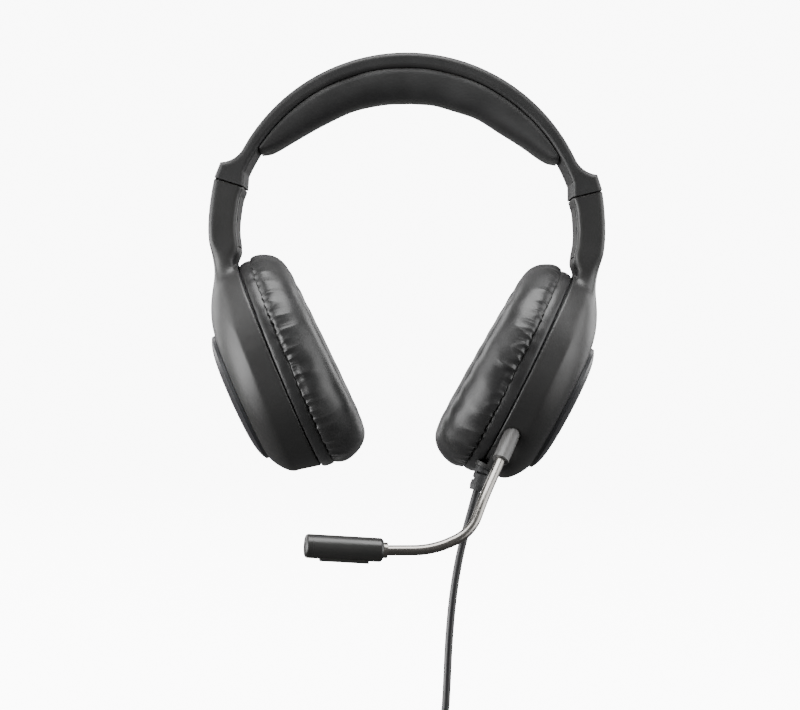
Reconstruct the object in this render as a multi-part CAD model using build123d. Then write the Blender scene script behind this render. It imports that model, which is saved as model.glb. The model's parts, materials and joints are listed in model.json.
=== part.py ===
from build123d import *
from math import cos, pi, radians, sin, sqrt, tan
import os

# A wired over-ear gaming headset with a boom microphone, in millimetres.
# +X is the wearer's left, -Y is the way the wearer faces, +Z is up.
# The origin is the middle of the head pad's underside, where the headset rests on the head.

# ---------------------------------------------------------------- head band
BAND_CENTRE_Z = -63.3      # centre of the outer arc and of the steel spring
BAND_R = 84.9              # outer arc of the band
BAND_WIDTH = 32.0          # front to back
SEAM_CENTRE_Z = -65.6      # centre of the seam between the band and the pad
SEAM_R = 80.1
SKIN = 2.1                 # moulded wall of the band
BAND_SIDE = 3.4            # the band's front and back walls
FLARE_ANGLE = 27.6         # where the band starts to widen, above the horizontal
SLIDE_ANGLE = 15.5         # the arms slide down and outwards at this angle
SPRING_R = 81.4            # middle of the steel spring's arc
SPRING_T = 1.0
SPRING_W = 14.0
SPRING_TAIL = 30.0         # straight end that stands in each arm
SLIDE_TRAVEL = 20.0
PART_GAP = 0.35            # gap between a band end and its arm
PAD_WIDTH = 30.0
LINER_T = 1.6
LINER_HALF = 62.0          # the liner reaches this far to each side
WIRE_Y = -9.5              # the signal wire runs in front of the spring

# ---------------------------------------------------------------- ear cups
CUP_CENTRE = (56.6, 0.0, -121.6)   # middle of the shell's rim, wearer's left
CUP_TILT = 24.5            # the cups lean in at the bottom by this angle
RIM_A, RIM_B = 50.6, 41.5  # half height and half width of the shell's rim
WALL = 2.2
SIDE_DEPTH = 10.5          # depth of the straight side wall
RIM_GAP = 1.3              # dark gap between the shell and the skirt
BAFFLE_FACE = -7.0         # the ear side of the baffle
BAFFLE_T = 2.0
SKIRT_A, SKIRT_B = 50.0, 41.2
CUSHION_A, CUSHION_B = 49.9, 41.7
PAD_SHIFT = -1.4           # the skirt and the cushion sit a little low on the rim
CUSHION_LEAN = 3.2         # the cushion is thicker at the bottom by this angle
CUSHION_EDGE_R, EAR_EDGE_R = 9.0, 5.5
BAFFLE_A, BAFFLE_B = 47.0, 38.0
EAR_A, EAR_B = 31.5, 22.5  # the opening for the ear
CUSHION_FACE = -24.2       # at the cup's middle
FIT = 0.05                 # faces that touch are this far apart
POST_U, POST_Y = 26.0, 20.0
DRIVER_R = 21.0

# ---------------------------------------------------------------- microphone, gland and controls
MIC_U, MIC_Y, MIC_W = -29.7, 33.6, 5.3   # where the sleeve leaves the cup's side wall
MIC_LEAN = 35.0            # forward lean of the sleeve
SLEEVE_R, SLEEVE_OUT, SLEEVE_IN = 3.65, 13.2, 9.0
BOOM_R = 2.25
CAPSULE_R, CAPSULE_LENGTH = 5.2, 34.0
GLAND_Y, GLAND_W = 22.0, 1.0
GLAND_U = -47.2            # lower face of the gland
WHEEL_U, WHEEL_Y, WHEEL_W = -10.0, -33.5, 3.5
WHEEL_R, WHEEL_T = 9.0, 3.6

# ---------------------------------------------------------------- cable
CABLE_D = 3.6
FLOOR_Z = -302.0           # the level that the coil lies at
TIE_T = 1.0
COIL_X, COIL_Y = -20.0, -2.0
COIL_COLUMNS, COIL_LEVELS = 3, 4
COIL_PITCH = 3.65
COIL_MEAN_R = 21.5
BOOT_LENGTH, BOOT_R = 22.0, 4.3
JACK_R, JACK_LENGTH = 1.75, 14.0

nodes = {}


def slab(sketch, width):
    """A side-view sketch given thickness, centred front to back."""
    return extrude(Plane.XZ * sketch, amount=width / 2, both=True)


def disc(centre_z, radius):
    return Pos(0, centre_z) * Circle(radius)


def oval(a, b, height, shift=0.0, tilt=0.0):
    """An oval section of a cup, in the cup's own frame."""
    return Location((shift, 0, height), (0, tilt, 0)) * Ellipse(a, b)


def oval_block(a, b, low, high):
    return extrude(oval(a, b, low), amount=high - low)


def oval_ring(a, b, wall, low, high):
    return oval_block(a, b, low, high) - oval_block(a - wall, b - wall, low - 1, high + 1)


def rod(start, end, radius):
    """A round bar between two points."""
    run = Vector(*end) - Vector(*start)
    return Plane(origin=start, z_dir=run) * extrude(Circle(radius), amount=run.length)


def cone_rod(start, end, start_r, end_r):
    run = Vector(*end) - Vector(*start)
    near = Plane(origin=start, z_dir=run)
    far = Plane(origin=end, z_dir=run)
    return loft([near * Circle(start_r), far * Circle(end_r)])


slope = radians(SLIDE_ANGLE)
down_arm = (sin(slope), 0, -cos(slope))
tail_top = (SPRING_R * cos(slope), 0, BAND_CENTRE_Z + SPRING_R * sin(slope))
# In the slide frame x runs front to back, y runs outwards and z runs down the arm.
SLIDE = Plane(origin=tail_top, x_dir=(0, 1, 0), z_dir=down_arm)
lean = radians(CUP_TILT)
# In the cup frame x runs up the cup, y runs forwards and z runs outwards from the head.
CUP = Plane(origin=CUP_CENTRE, x_dir=(sin(lean), 0, cos(lean)), z_dir=(cos(lean), 0, -sin(lean)))


def slide_box(width, thick, top, bottom, out=0.0):
    """A block along the slide, from top to bottom below the end of the spring's arc."""
    block = Box(width, thick, bottom - top, align=(Align.CENTER, Align.CENTER, Align.MIN))
    return SLIDE * (Pos(0, out, top) * block)


def cup_point(u, y, w):
    """A point of the cup frame, in the headset's frame."""
    return tuple(CUP.from_local_coords(Vector(u, y, w)))


# ------------------------------------------------------------------ head band

PARTING_OUT = (88.1, -37.9)       # outer end of the parting line between band and arm
PARTING_LENGTH = 14.2
PARTING_IN = (PARTING_OUT[0] - PARTING_LENGTH * cos(slope),
              PARTING_OUT[1] - PARTING_LENGTH * sin(slope))
parting_drop = SLIDE.to_local_coords(Vector(PARTING_OUT[0], 0, PARTING_OUT[1])).Z


def band_profile():
    """Side view of the wearer's left half of the band, from the crown to the parting line."""
    flare = radians(FLARE_ANGLE)
    crown = (0, BAND_CENTRE_Z + BAND_R)
    flare_top = (BAND_R * cos(flare), BAND_CENTRE_Z + BAND_R * sin(flare))
    corner = (85.6, -31.0)
    seam_end_z = -35.3
    seam_end = (sqrt(SEAM_R**2 - (seam_end_z - SEAM_CENTRE_Z)**2), seam_end_z)
    seam_mid_z = SEAM_CENTRE_Z + SEAM_R * sin(radians(55))
    seam_mid = (SEAM_R * cos(radians(55)), seam_mid_z)
    seam_top = (0, SEAM_CENTRE_Z + SEAM_R)
    outer_mid = (BAND_R * cos(radians(60)), BAND_CENTRE_Z + BAND_R * sin(radians(60)))
    edges = [
        ThreePointArc(crown, outer_mid, flare_top),
        ThreePointArc(flare_top, (79.0, -28.6), corner),
        Line(corner, PARTING_OUT),
        Line(PARTING_OUT, PARTING_IN),
        Line(PARTING_IN, seam_end),
        ThreePointArc(seam_end, seam_mid, seam_top),
        Line(seam_top, crown),
    ]
    return make_face(Wire(edges))


def both_sides(half):
    return half + mirror(half, about=Plane.YZ)


def channel(inner_r, outer_r, width, end_angle):
    """A curved slot along the band, cut off at the end angle above the horizontal."""
    ring = disc(BAND_CENTRE_Z, outer_r) - disc(BAND_CENTRE_Z, inner_r)
    base = BAND_CENTRE_Z + outer_r * sin(radians(end_angle))
    keep = Pos(0, base + outer_r) * Rectangle(4 * outer_r, 2 * outer_r)
    return slab(ring & keep, width)


def end_cap(clearance=0.0):
    """The plate that closes one end of the band, around the steel spring."""
    size = 8.6 + clearance
    return slide_box(BAND_WIDTH - 9 + clearance, size, parting_drop - 1.8, parting_drop, 0.8)


def band_shell():
    half = slab(band_profile(), BAND_WIDTH)
    long_edges = half.edges().filter_by(lambda e: abs(abs(e.center().Y) - BAND_WIDTH / 2) < 0.01)
    outer = long_edges.filter_by(lambda e: e.center().X > 2 and not on_parting(e))
    half = fillet(outer, 2.2)
    shell = both_sides(half)
    shell -= channel(60, BAND_R - SKIN, BAND_WIDTH - 2 * BAND_SIDE, 33)
    slot = slide_box(SPRING_W + 0.8, SPRING_T + 0.8, -1, parting_drop + 2)
    cap_seat = end_cap(0.2)
    shell -= both_sides(slot + cap_seat)
    shell -= channel(SPRING_R - 0.9, SPRING_R + 0.9, SPRING_W + 0.8, 12)
    return shell


def on_parting(edge):
    """True for an edge that lies in the parting face."""
    return abs(SLIDE.to_local_coords(edge.center()).Z - parting_drop) < 0.2


def spring_band():
    """One steel strip: an arc inside the band with a straight tail in each arm."""
    arc = disc(BAND_CENTRE_Z, SPRING_R + SPRING_T / 2) - disc(BAND_CENTRE_Z, SPRING_R - SPRING_T / 2)
    base = tail_top[2]
    keep = Pos(0, base + BAND_R) * Rectangle(4 * BAND_R, 2 * BAND_R)
    strip = slab(arc & keep, SPRING_W)
    tail = slide_box(SPRING_W, SPRING_T, -0.4, SPRING_TAIL)
    for step in range(8):
        hole = Pos(0, 0, SPRING_TAIL - 4 - step * 2.8) * (Rot(90, 0, 0) * Cylinder(0.9, 4))
        tail -= SLIDE * hole
    return strip + both_sides(tail)


def band_liner():
    """The plate that closes the band's underside and carries the pad."""
    ring = disc(SEAM_CENTRE_Z, SEAM_R + LINER_T) - disc(SEAM_CENTRE_Z, SEAM_R)
    keep = Rectangle(2 * LINER_HALF, 60)
    return slab(ring & keep, BAND_WIDTH - 2 * BAND_SIDE - 0.4)


def band_pad():
    """The soft pad under the band, thick at the crown and tapering to each end."""
    tip_angle = radians(29.5)
    pad_r = SEAM_R - 0.1
    top = (0, SEAM_CENTRE_Z + pad_r)
    top_mid = (pad_r * cos(radians(58)), SEAM_CENTRE_Z + pad_r * sin(radians(58)))
    tip = (pad_r * cos(tip_angle), SEAM_CENTRE_Z + pad_r * sin(tip_angle))
    under = Spline((0, 0), (13, -0.9), (24.5, -3.5), (38.5, -10.4), (51.5, -18.2), (65.5, -26.0),
                   tangents=[(1, 0), (1.0, -0.42)])
    edges = [under, Line((65.5, -26.0), tip), ThreePointArc(tip, top_mid, top), Line(top, (0, 0))]
    half = slab(make_face(Wire(edges)), PAD_WIDTH)
    low = half.edges().filter_by(lambda e: abs(abs(e.center().Y) - PAD_WIDTH / 2) < 0.01)
    under_edges = low.filter_by(lambda e: e.length > 50 and e.center().Z < 0)
    half = fillet(under_edges, 3.0)
    return both_sides(half)


def crossover_wire():
    """The signal wire that crosses the band to the wearer's right cup."""
    wire = disc(BAND_CENTRE_Z, SPRING_R + 0.4) - disc(BAND_CENTRE_Z, SPRING_R - 0.4)
    keep = Pos(0, BAND_CENTRE_Z + 46 + BAND_R) * Rectangle(4 * BAND_R, 2 * BAND_R)
    return Pos(0, WIRE_Y, 0) * slab(wire & keep, 1.6)


nodes["band_shell"] = band_shell()
nodes["band_spring"] = spring_band()
nodes["band_liner"] = band_liner()
nodes["band_pad"] = band_pad()
nodes["crossover_wire"] = crossover_wire()


# ------------------------------------------------------------------ arms and cup shells

ARM_WIDTH = 31.0
COVER_T = 1.6
COVER_WIDTH = 23.0
GUIDE_LENGTH = 9.0
arm_top = parting_drop + PART_GAP
inner_face = [(75.9, -46.0), (76.8, -51.6), (77.3, -57.2), (77.1, -62.8), (76.2, -68.4)]


def cup_dome(inset):
    """The domed outside of a cup, or its hollow when inset by the wall."""
    side = SIDE_DEPTH - inset * 0.3
    wall = loft([oval(RIM_A - inset, RIM_B - inset, 0), oval(49.3 - inset, 40.6 - inset, side, 0.7)])
    dome = loft([
        oval(49.3 - inset, 40.6 - inset, side, 0.7),
        oval(44.4 - inset, 37.2 - inset, 15.6 - inset * 0.75, -1.8),
        oval(37.6 - inset, 32.2 - inset, 19.6 - inset, -3.2),
        oval(31.0 - inset, 27.2 - inset, 21.2 - inset, -7.5, -1.6),
    ])
    return wall + dome


def arm_profile():
    """Side view of the arm, from the parting line down into the cup."""
    top_out = SLIDE.from_local_coords(slide_point(PARTING_OUT))
    top_in = SLIDE.from_local_coords(slide_point(PARTING_IN))
    start = (top_out.X, top_out.Z)
    finish = (top_in.X, top_in.Z)
    outer = Spline(start, (89.7, -48.5), (90.3, -58.7), (89.3, -69.5), (87.2, -78.5), (87.0, -87.0),
                   (87.9, -97.5), tangents=[(0.2, -1), (0.05, -1)])
    heel = (75.4, -72.4)
    inner = Spline(heel, *reversed(inner_face), finish, tangents=[(0.35, 1), (-0.3, 1)])
    edges = [
        outer,
        Line((87.9, -97.5), (78.0, -97.5)),
        Line((78.0, -97.5), (78.2, -75.4)),
        Line((78.2, -75.4), heel),
        inner,
        Line(finish, start),
    ]
    return make_face(Wire(edges))


def slide_point(point):
    """A side-view point moved down to the arm's top face, in the slide frame."""
    local = SLIDE.to_local_coords(Vector(point[0], 0, point[1]))
    return Vector(0, local.Y, arm_top)


def cover_profile(proud, depth):
    """Side view of the plate that closes the arm's inner face, or of its seat."""
    near = [(x - proud, z) for x, z in inner_face]
    far = [(x + depth, z) for x, z in inner_face]
    edges = [Spline(*near), Line(near[-1], far[-1]), Spline(*reversed(far)), Line(far[0], near[0])]
    return make_face(Wire(edges))


def arm_bar():
    bar = slab(arm_profile(), ARM_WIDTH)
    side = bar.edges().filter_by(lambda e: abs(abs(e.center().Y) - ARM_WIDTH / 2) < 0.01)
    long_edges = side.filter_by(lambda e: e.length > 25 and e.center().Z > -90)
    return fillet(long_edges, 2.4)


def screw_posts():
    post = Pos(0, 0, -4.8) * extrude(Circle(3.0), amount=23.0)
    pilot = Pos(0, 0, -5.8) * extrude(Circle(1.25), amount=12.0)
    corners = [Pos(u, y, 0) for u in (-POST_U, POST_U) for y in (-POST_Y, POST_Y)]
    return [c * post for c in corners], [c * pilot for c in corners]


def screw_set():
    """Four screws that hold the baffle to the shell."""
    head = Pos(0, 0, BAFFLE_FACE + 0.1) * extrude(Circle(2.4), amount=1.2)
    shank = Pos(0, 0, BAFFLE_FACE + 1.2) * extrude(Circle(1.15), amount=9.0)
    cross = Pos(0, 0, BAFFLE_FACE + 0.4) * (Box(3.0, 0.6, 0.8) + Box(0.6, 3.0, 0.8))
    screw = head + shank - cross
    corners = [Pos(u, y, 0) for u in (-POST_U, POST_U) for y in (-POST_Y, POST_Y)]
    return Compound([CUP * (c * screw) for c in corners])


def cup_shell():
    """One moulding: the sliding arm, its neck and the cup's hollow shell."""
    hollow = cup_dome(WALL) + oval_block(RIM_A - WALL, RIM_B - WALL, -3, 0.1)
    shell = arm_bar() + CUP * cup_dome(0)
    shell -= CUP * hollow
    posts, pilots = screw_posts()
    for post in posts:
        shell += CUP * post
    for pilot in pilots:
        shell -= CUP * pilot
    shell -= slide_box(20.4, 5.2, arm_top - 1, arm_top + 11.0)
    shell -= slide_box(SPRING_W + 1.0, 2.4, arm_top, SPRING_TAIL + 1.0)
    shell -= slab(cover_profile(1.0, COVER_T + 0.15), COVER_WIDTH + 0.2)
    for place in cover_screw_places:
        shell -= place * (Rot(0, 90, 0) * Cylinder(1.0, 8))
    return shell


# The middles of the four screw heads in an arm's cover, just under its surface.
cover_screw_places = [Pos(x + 0.7, y, z) for x, z in ((77.2, -56.5), (76.6, -66.0)) for y in (-9.3, 9.3)]


def arm_cover():
    cover = slab(cover_profile(0, COVER_T), COVER_WIDTH)
    for place in cover_screw_places:
        cover -= place * (Rot(0, 90, 0) * Cylinder(1.7, 8))
    return cover


def arm_screws():
    """The four screws in the arm's inner cover."""
    head = Rot(0, 90, 0) * Cylinder(1.6, 1.0)
    shank = Pos(1.7, 0, 0) * (Rot(0, 90, 0) * Cylinder(0.9, 2.4))
    slot = Pos(-0.5, 0, 0) * (Box(0.6, 0.5, 2.2) + Box(0.6, 2.2, 0.5))
    screw = head + shank - slot
    return Compound([place * screw for place in cover_screw_places])


def slide_guide():
    """The nylon block in the arm that the spring's tail runs through."""
    block = slide_box(20.0, 4.0, arm_top + 0.3, arm_top + 0.3 + GUIDE_LENGTH, 0.4)
    block -= slide_box(SPRING_W + 0.6, SPRING_T + 0.6, arm_top - 1, arm_top + 12)
    return block - detent_hole(0.95)


def detent_hole(radius):
    hole = Pos(0, 2.0, arm_top + 5.0) * (Rot(90, 0, 0) * Cylinder(radius, 2.4))
    return SLIDE * hole


def detent_ball():
    """The ball that clicks along the spring's row of holes."""
    return SLIDE * (Pos(0, 0.82 + 0.75, arm_top + 5.0) * Sphere(0.75))


def outer_plate():
    """The raised oval plate on the outside of a cup."""
    base = loft([oval(30.8, 27.0, 21.4, -7.5, -1.6), oval(30.6, 26.8, 22.9, -7.5, -1.6)])
    crown = loft([
        oval(30.6, 26.8, 22.9, -7.5, -1.6),
        oval(28.0, 24.4, 24.2, -7.6, -1.6),
        oval(20.0, 17.4, 25.7, -7.8, -1.6),
        oval(9.0, 7.8, 26.5, -8.0, -1.6),
    ])
    return CUP * (base + crown)


# ------------------------------------------------------------------ inside each cup

def baffle():
    """The plate across the cup that carries the driver, the skirt and the cushion."""
    back = BAFFLE_FACE + BAFFLE_T
    plate = oval_block(BAFFLE_A, BAFFLE_B, BAFFLE_FACE, back)
    plate += oval_ring(BAFFLE_A, BAFFLE_B, 2.0, back - 0.5, 0.8)
    port = extrude(Circle(1.9), amount=6)
    ports = [Pos(0, 0, BAFFLE_FACE - 1) * port]
    for count, radius in ((6, 6.2), (12, 12.4)):
        for i in range(count):
            angle = 2 * pi * i / count
            ports.append(Pos(radius * cos(angle), radius * sin(angle), BAFFLE_FACE - 1) * port)
    for hole in ports:
        plate -= hole
    for u in (-POST_U, POST_U):
        for y in (-POST_Y, POST_Y):
            plate -= Pos(u, y, BAFFLE_FACE - 1) * extrude(Circle(2.6), amount=2.4)
            plate -= Pos(u, y, BAFFLE_FACE - 1) * extrude(Circle(1.4), amount=6)
    return CUP * plate


def driver_frame():
    back = BAFFLE_FACE + BAFFLE_T + FIT
    frame = Pos(0, 0, back) * extrude(Circle(DRIVER_R), amount=3.6)
    frame -= Pos(0, 0, back - 1) * extrude(Circle(DRIVER_R - 2.2), amount=3.4)
    return CUP * frame


def driver_diaphragm():
    low = BAFFLE_FACE + BAFFLE_T + 1.2
    rim = Pos(0, 0, low) * extrude(Circle(DRIVER_R - 2.4), amount=0.5)
    cap = Pos(0, 0, low - 0.7) * extrude(Circle(7.0), amount=0.8)
    return CUP * (rim + cap)


def driver_magnet():
    low = BAFFLE_FACE + BAFFLE_T + FIT + 3.6 + FIT
    return CUP * (Pos(0, 0, low) * extrude(Circle(11.5), amount=6.5))


def acoustic_cloth():
    cloth = oval_block(EAR_A - 0.4, EAR_B - 0.4, BAFFLE_FACE - 0.55, BAFFLE_FACE - FIT)
    return CUP * (Pos(PAD_SHIFT, 0, 0) * cloth)


def pad_skirt():
    """The cushion cover's skirt, stretched round the edge of the baffle."""
    outside = Pos(PAD_SHIFT, 0, 0) * oval_block(SKIRT_A, SKIRT_B, BAFFLE_FACE, -RIM_GAP)
    return CUP * (outside - oval_block(BAFFLE_A + FIT, BAFFLE_B + FIT, BAFFLE_FACE - 1, 0))


def ear_cushion():
    low, high = CUSHION_FACE - 6, BAFFLE_FACE - FIT
    ring = oval_block(CUSHION_A, CUSHION_B, low, high) - oval_block(EAR_A, EAR_B, low - 1, high + 1)
    trim = Pos(0, 0, CUSHION_FACE) * (Rot(0, -CUSHION_LEAN, 0) * (Pos(0, 0, -10) * Box(140, 120, 20)))
    ring -= trim
    for pick, radius in ((0, EAR_EDGE_R), (-1, CUSHION_EDGE_R)):
        rims = ring.edges().filter_by(lambda e: e.center().Z < CUSHION_FACE + 8 and e.length > 2 * CUSHION_A)
        ring = fillet(rims.sort_by(lambda e: e.length)[pick], radius)
    return CUP * (Pos(PAD_SHIFT, 0, 0) * ring)


# ------------------------------------------------------------------ microphone

mic_tilt = radians(MIC_LEAN)
mic_root = Vector(*cup_point(MIC_U, MIC_Y, MIC_W))
mic_axis = Vector(*cup_point(MIC_U - cos(mic_tilt), MIC_Y + sin(mic_tilt), MIC_W)) - mic_root
sleeve_end = mic_root + mic_axis * SLEEVE_OUT
# The boom's route from the sleeve to the capsule; it starts along the sleeve's axis.
boom_route = [
    sleeve_end - mic_axis * 4.0,
    sleeve_end + mic_axis * 21.0,
    Vector(32.0, -59.5, -191.8),
    Vector(15.6, -62.6, -199.5),
    Vector(-3.9, -64.0, -200.1),
]
capsule_axis = Vector(-0.984, -0.175, 0.039)


def turn_radii(points):
    """The largest even arc radius at each inner point of a route."""
    radii = []
    for a, b, c in zip(points, points[1:], points[2:]):
        before, after = b - a, c - b
        half_turn = radians(before.get_angle(after)) / 2
        radii.append(0.45 * min(before.length, after.length) / tan(half_turn))
    return radii


def tube(points, radius):
    path = FilletPolyline(*points, radius=turn_radii(points))
    start = Plane(origin=path @ 0, z_dir=path % 0)
    return sweep(start * Circle(radius), path=path)


def mic_bore(radius):
    start = mic_root - mic_axis * (SLEEVE_IN + 1.5)
    return rod(tuple(start), tuple(sleeve_end), radius)


def mic_sleeve():
    """The fixed sleeve that the boom turns in."""
    start = mic_root - mic_axis * SLEEVE_IN
    body = rod(tuple(start), tuple(sleeve_end), SLEEVE_R)
    collar = rod(tuple(start), tuple(start + mic_axis * 2.0), SLEEVE_R + 0.8)
    bore = rod(tuple(start - mic_axis), tuple(sleeve_end + mic_axis), BOOM_R + 0.08)
    return body + collar - bore


def mic_boom():
    shaft = tube(boom_route, BOOM_R)
    tail = rod(tuple(mic_root - mic_axis * (SLEEVE_IN + 1.0)), tuple(boom_route[0]), BOOM_R)
    stop = rod(tuple(mic_root - mic_axis * (SLEEVE_IN + 1.8)), tuple(mic_root - mic_axis * (SLEEVE_IN + 0.3)),
               BOOM_R + 1.0)
    return shaft + tail + stop


def capsule_point(along, side=0.0, down=0.0):
    across = Vector(0, 0, -1).cross(capsule_axis).normalized()
    below = capsule_axis.cross(across).normalized()
    if below.Z > 0:
        below = below * -1
    return boom_route[-1] + capsule_axis * along + across * side + below * down


def end_edge(bar, point):
    """The round edge of a bar's end that is nearest a point."""
    return bar.edges().filter_by(GeomType.CIRCLE).sort_by_distance(point)[0]


def mic_capsule():
    """The capsule's body, open at its end for the microphone element."""
    near, far = 1.9, 1.9 + CAPSULE_LENGTH - 3.0
    body = rod(tuple(capsule_point(near)), tuple(capsule_point(far)), CAPSULE_R)
    body = fillet(end_edge(body, capsule_point(near)), 1.6)
    body -= rod(tuple(capsule_point(far - 13)), tuple(capsule_point(far + 1)), CAPSULE_R - 1.1)
    body -= rod(tuple(capsule_point(near - 1)), tuple(capsule_point(near + 4)), BOOM_R + 0.02)
    return body - mic_plate_block(0.1)


def mic_plate_block(grow):
    frame = Plane(origin=tuple(capsule_point(18.5, 0, CAPSULE_R - 0.1)), x_dir=capsule_axis,
                  z_dir=capsule_point(0, 0, 1) - capsule_point(0))
    return frame * Box(21 + 2 * grow, 4.6 + 2 * grow, 2.0 + 2 * grow)


def mic_tail_plug():
    """The ferrule that joins the boom and the capsule."""
    ring = rod(tuple(capsule_point(0.1)), tuple(capsule_point(1.85)), 3.4)
    return ring - rod(tuple(capsule_point(-1)), tuple(capsule_point(3)), BOOM_R + 0.02)


def mic_end_cap():
    far = 1.9 + CAPSULE_LENGTH - 3.0
    cap = rod(tuple(capsule_point(far + FIT)), tuple(capsule_point(far + 3.0)), CAPSULE_R)
    cap = fillet(end_edge(cap, capsule_point(far + 3.0)), 1.5)
    return cap - rod(tuple(capsule_point(far - 1)), tuple(capsule_point(far + 4)), 1.0)


def mic_element():
    far = 1.9 + CAPSULE_LENGTH - 3.0
    return rod(tuple(capsule_point(far - 5.0)), tuple(capsule_point(far - 0.3)), 3.0)


# ------------------------------------------------------------------ gland, controls and board

gland_face = Vector(*cup_point(GLAND_U, GLAND_Y, GLAND_W))
relief_axis = Vector(-0.235, -0.05, -0.971).normalized()
RELIEF_LENGTH = 11.0
relief_end = gland_face + relief_axis * RELIEF_LENGTH


def gland_seat():
    """The corner of the shell's side wall that the gland block replaces."""
    return CUP * (Pos(-44.0, GLAND_Y, 4.0) * Box(16.0, 12.0, 8.4))


def gland_block():
    """The cable gland: a flush piece of the side wall with a nose for the strain relief."""
    wall = oval_ring(RIM_A - 0.1, RIM_B - 0.1, WALL, 0.1, 8.0)
    piece = wall & (Pos(-44.0, GLAND_Y, 4.0) * Box(15.7, 11.7, 8.4))
    nose = Pos(GLAND_U, GLAND_Y, GLAND_W) * (Rot(0, 90, 0) * extrude(Circle(4.1), amount=1.9))
    nose += Pos(GLAND_U + 4.2, GLAND_Y, 4.5) * Box(7.0, 8.2, 5.4)
    return CUP * (piece + nose)


def strain_relief():
    """A slotted rubber sleeve, narrower at the gland, with a collar at the cable's end."""
    start = gland_face + relief_axis * FIT
    collar_start = gland_face + relief_axis * (RELIEF_LENGTH - 2.4)
    body = cone_rod(tuple(start), tuple(collar_start), 3.3, 3.75)
    collar = cone_rod(tuple(collar_start), tuple(relief_end), 3.9, 3.4)
    frame = Plane(origin=tuple(gland_face), z_dir=relief_axis)
    for row, along in enumerate((3.0, 5.9)):
        for side in (-1, 1):
            slot = Pos(0, side * 3.4, along) * Box(4.6, 2.6, 1.0)
            body -= frame * (Rot(0, 0, 90 * row) * slot)
    return body + collar


def volume_wheel():
    wheel = extrude(Circle(WHEEL_R), amount=WHEEL_T)
    for i in range(30):
        groove = Rot(0, 0, 12 * i) * (Pos(WHEEL_R, 0, WHEEL_T / 2) * Box(0.8, 0.8, WHEEL_T + 1))
        wheel -= groove
    wheel -= Pos(0, 0, -1) * extrude(Circle(1.55), amount=WHEEL_T + 2)
    return CUP * (Pos(WHEEL_U, WHEEL_Y, WHEEL_W) * wheel)


def wheel_slot():
    size = 2 * WHEEL_R + 0.8
    return CUP * (Pos(WHEEL_U, WHEEL_Y - 4, WHEEL_W + WHEEL_T / 2) * Box(size, 12, WHEEL_T + 0.8))


def volume_control():
    """The potentiometer under the wheel, with the spindle that the wheel turns on."""
    body = Pos(0, 0, WHEEL_T + 0.4) * extrude(Rectangle(9, 5), amount=3.0)
    spindle = Pos(0, 0, 0.2) * extrude(Circle(1.5), amount=WHEEL_T + 0.4)
    return CUP * (Pos(WHEEL_U, WHEEL_Y, WHEEL_W) * (body + spindle))


def circuit_board():
    low = WHEEL_W + WHEEL_T + 3.4 + FIT
    return CUP * (Pos(-10, -22.5, low) * extrude(Rectangle(24, 19), amount=1.2))


# ------------------------------------------------------------------ both cups, and what only the left has

def cup_nodes():
    return {
        "cup_shell": cup_shell(),
        "outer_plate": outer_plate(),
        "arm_cover": arm_cover(),
        "arm_screws": arm_screws(),
        "slide_guide": slide_guide(),
        "detent_ball": detent_ball(),
        "band_end_cap": end_cap() - slide_box(SPRING_W + 0.8, SPRING_T + 0.8, -5, 8),
        "baffle": baffle(),
        "baffle_screws": screw_set(),
        "driver_frame": driver_frame(),
        "driver_diaphragm": driver_diaphragm(),
        "driver_magnet": driver_magnet(),
        "acoustic_cloth": acoustic_cloth(),
        "pad_skirt": pad_skirt(),
        "ear_cushion": ear_cushion(),
    }


for name, shape in cup_nodes().items():
    nodes["left_" + name] = shape
    nodes["right_" + name] = mirror(shape, about=Plane.YZ)

nodes["left_cup_shell"] -= gland_seat() + mic_bore(SLEEVE_R + 0.05) + wheel_slot()
nodes["mic_sleeve"] = mic_sleeve()
nodes["mic_boom"] = mic_boom()
nodes["mic_ferrule"] = mic_tail_plug()
nodes["mic_capsule"] = mic_capsule()
nodes["mic_end_cap"] = mic_end_cap()
nodes["mic_element"] = mic_element()
nodes["mic_plate"] = mic_plate_block(0)
nodes["cable_gland"] = gland_block()
nodes["strain_relief"] = strain_relief()
nodes["volume_wheel"] = volume_wheel()
nodes["volume_control"] = volume_control()
nodes["circuit_board"] = circuit_board()


# ------------------------------------------------------------------ cable, coil and plug

coil_low = FLOOR_Z + TIE_T
coil_high = coil_low + COIL_LEVELS * COIL_PITCH
coil_outer = COIL_MEAN_R + COIL_PITCH          # middle of the outermost turns
lead_z = coil_low + CABLE_D / 2
tail_z = coil_high - CABLE_D / 2
coil_near_y = COIL_Y - coil_outer
lead_route = [
    relief_end,
    relief_end + relief_axis * 13.5,
    Vector(28.6, -24.6, -203.8),
    Vector(26.1, -25.0, -222.0),
    Vector(24.9, -25.3, -243.0),
    Vector(24.7, -26.0, -263.0),
    Vector(24.2, -26.3, -281.5),
    Vector(13.0, -26.8, -295.4),
    Vector(-6.0, coil_near_y + 0.1, lead_z - 0.2),
    Vector(COIL_X, coil_near_y, lead_z),
]
tail_route = [
    Vector(COIL_X, coil_near_y, tail_z),
    Vector(-34.0, -26.6, tail_z - 0.9),
    Vector(-49.0, -24.4, FLOOR_Z + 8.4),
    Vector(-63.0, -20.0, FLOOR_Z + BOOT_R),
    Vector(-75.0, -14.0, FLOOR_Z + BOOT_R),
]
plug_axis = (tail_route[-1] - tail_route[-2])
plug_axis = Vector(plug_axis.X, plug_axis.Y, 0).normalized()
boot_far = tail_route[-1] + plug_axis * BOOT_LENGTH


def coil_ring():
    """The outside of the wound cable, as one ring."""
    outer_r = coil_outer + COIL_PITCH / 2
    inner_r = outer_r - COIL_COLUMNS * COIL_PITCH
    ring = Circle(outer_r) - Circle(inner_r)
    return Pos(COIL_X, COIL_Y, coil_low) * extrude(ring, amount=coil_high - coil_low)


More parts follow.
